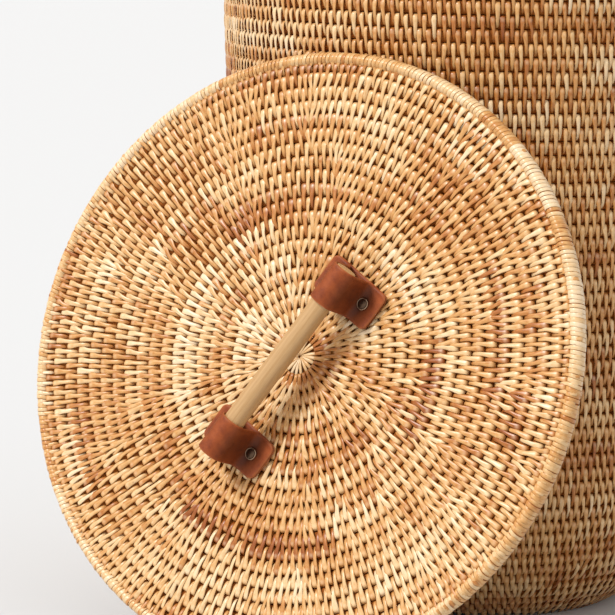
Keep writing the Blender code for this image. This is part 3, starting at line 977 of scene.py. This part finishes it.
def straps(matrix, finish):
    """A flat patch and a saddle bent over the bar, on each side."""
    low = patch_low()
    for index, place in enumerate((-STRAP_PLACE, STRAP_PLACE)):
        spot = matrix @ Matrix.Translation((place, 0.0, 0.0))
        y = np.linspace(STRAP_SPAN / 2.0, -STRAP_SPAN / 2.0, 44)
        patch = leather_part(y, np.full(44, low + LEATHER / 2.0), y, LEATHER, flat_dip)
        build(f"patch_leather_{index + 1}", [patch], (finish,), "lid",
              (f"strap_patch_{index + 1}",), spot)
        tab = low + 1.5 * LEATHER + JOINT_GAP
        y, z = saddle_path(tab)
        strap = leather_part(y, z, y, LEATHER, saddle_dip(tab))
        build(f"saddle_leather_{index + 1}", [strap], (finish,), "lid",
              (f"strap_saddle_{index + 1}",), spot)


def turned_part(profile, ring=False):
    """Solid of revolution from (radius, height, wear) points, bottom to top, or round a ring."""
    segments = 40
    radius, height, wear = np.array(profile).T[:, :, None]
    points = circled(radius, even_angles(segments)[None, :], height)
    quads = grid_quads(1, len(radius), segments, False, ring)
    ends = () if ring else tube_ends(1, len(radius), segments)
    return part(points, quads, np.broadcast_to(wear, points.shape[:2]), points, 0, ends)


# A rivet's cap from its seat to its crown: parts of its radius and height, and wear.
RIVET_CAP = [
    (0.93, 0.00, 0.30), (1.00, 0.12, 0.50), (1.00, 0.42, 0.70), (0.975, 0.62, 1.00),
    (0.93, 0.72, 1.00), (0.88, 0.70, 0.70), (0.84, 0.62, 0.05), (0.70, 0.76, 0.00),
    (0.50, 0.90, 0.05), (0.25, 0.98, 0.10)]


def rivets(matrix, finish):
    """Caps on their shanks, and the washers that the shanks are clenched on under the lid."""
    seat = patch_low() + 2.0 * LEATHER + 2.0 * JOINT_GAP - CAP_SINK
    spots = [(x, y) for x in (-STRAP_PLACE, STRAP_PLACE) for y in (-RIVET_OFFSET, RIVET_OFFSET)]
    for index, (x, y) in enumerate(spots):
        spot = matrix @ Matrix.Translation((x, y, 0.0))
        box_low, box_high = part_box(f"rivet_washer_{index + 1}")
        centre = spot.inverted() @ ((box_low + box_high) / 2.0)
        low = centre.z - WASHER_THICKNESS / 2.0
        shank = [(SHANK_RADIUS, low - 0.0002, 0.1), (SHANK_RADIUS, seat, 0.1)]
        cap = [(RIVET_RADIUS * r, seat + RIVET_HEIGHT * h, wear) for r, h, wear in RIVET_CAP]
        crown = [(0.0002, seat + RIVET_HEIGHT, 0.1)]
        build(f"rivet_cap_{index + 1}", [turned_part(shank + cap + crown)], (finish,), "lid",
              (f"rivet_{index + 1}",), spot)
        hole, w, h = WASHER_HOLE, WASHER_RADIUS, WASHER_THICKNESS
        ring = [(hole, low + h, 0.2), (hole, low + 0.2 * h, 0.2), (hole + 0.0004, low, 0.7),
                (w - 0.0003, low, 0.7), (w, low + 0.3 * h, 0.9), (w, low + 0.8 * h, 0.6),
                (w - 0.0002, low + h, 0.3)]
        build(f"washer_ring_{index + 1}", [turned_part(ring, ring=True)], (finish,), "lid",
              (f"rivet_washer_{index + 1}",), spot)


def bar(matrix, finish):
    """Round bar, very slightly uneven, its ends eased."""
    segments, steps, ease = 56, 60, 0.0011
    arc = [math.pi / 2.0 * i / 5.0 for i in range(6)]
    half = DOWEL_LENGTH / 2.0
    ends = [(half - ease + ease * math.sin(a), ease * (1.0 - math.cos(a))) for a in arc]
    x = [-p for p, _ in ends[::-1]] + list(np.linspace(-half + ease, half - ease, steps)[1:-1])
    x = np.array(x + [p for p, _ in ends])
    inset = np.zeros(len(x))
    inset[:6] = [d for _, d in ends[::-1]]
    inset[-6:] = [d for _, d in ends]
    xx, pp = np.meshgrid(x, even_angles(segments), indexing="ij")
    wander = 0.00006 * np.sin(xx * 61.0 + 2.0 * pp) + 0.00004 * np.sin(xx * 143.0 - pp)
    rr = DOWEL_RADIUS - inset[:, None] - 0.0001 + wander
    points = np.stack([xx, rr * np.cos(pp), DOWEL_HEIGHT + rr * np.sin(pp)], axis=-1)
    quads = grid_quads(1, len(x), segments, False)
    fibre = np.stack([xx, rr * np.cos(pp), rr * np.sin(pp)], axis=-1)
    body_part = part(points, quads, 0.0 * xx, fibre, 0, tube_ends(1, len(x), segments))
    build("handle_bar", [body_part], (finish,), "grip", ("handle_dowel",), matrix)


# ---------------------------------------------------------------- studio

def studio():
    """A wide pale floor under the basket, an even sky and one soft sun."""
    mesh = bpy.data.meshes.new("floor")
    corners = [(x * FLOOR_REACH, y * FLOOR_REACH, CAD_BOUNDS[0].z)
               for x, y in ((-1, -1), (1, -1), (1, 1), (-1, 1))]
    mesh.from_pydata(corners, [], [(0, 1, 2, 3)])
    ground = bpy.data.objects.new("floor", mesh)
    bpy.context.scene.collection.objects.link(ground)
    finish, _, surface = shader("studio_floor")
    surface.inputs["Base Color"].default_value = FLOOR_GREY
    surface.inputs["Roughness"].default_value = 0.9
    mesh.materials.append(finish)

    world = bpy.data.worlds.new("studio")
    world.use_nodes = True
    sky = world.node_tree.nodes["Background"]
    sky.inputs["Color"].default_value = (1.0, 1.0, 1.0, 1.0)
    sky.inputs["Strength"].default_value = SKY_STRENGTH
    bpy.context.scene.world = world

    key = bpy.data.lights.new("key", "SUN")
    key.energy = SUN_STRENGTH
    key.angle = SUN_WIDTH
    key.color = SUN_COLOUR
    light = bpy.data.objects.new("key", key)
    away = Vector(SUN_SIDE)
    light.location = away
    light.rotation_euler = (-away).to_track_quat("-Z", "Y").to_euler()
    bpy.context.scene.collection.objects.link(light)


def camera():
    data = bpy.data.cameras.new("camera")
    data.lens = LENS
    data.sensor_width = SENSOR
    data.clip_end = 60.0
    eye = bpy.data.objects.new("camera", data)
    turn = (Matrix.Rotation(CAMERA_YAW, 4, "Z") @ Matrix.Rotation(CAMERA_TILT, 4, "X")
            @ Matrix.Rotation(CAMERA_ROLL, 4, "Z"))
    eye.matrix_world = Matrix.Translation(CAMERA_PLACE) @ turn
    bpy.context.scene.collection.objects.link(eye)
    bpy.context.scene.camera = eye


def main():
    camera()
    studio()
    bpy.context.scene.view_settings.view_transform = "Standard"
    # 0.07 sets the strength of the painted shade and highlights on the strips.
    cane_finish = cane("split_cane", 0.07)
    rim_finish = cane("binding_cane", 0.0)
    core_finish = reed()
    basket(cane_finish, rim_finish, core_finish)
    lid(lid_matrix(), cane_finish, rim_finish, core_finish)
    handle_frame = handle_matrix()
    straps(handle_frame, leather())
    rivets(handle_frame, metal())
    bar(handle_frame, wood())


main()
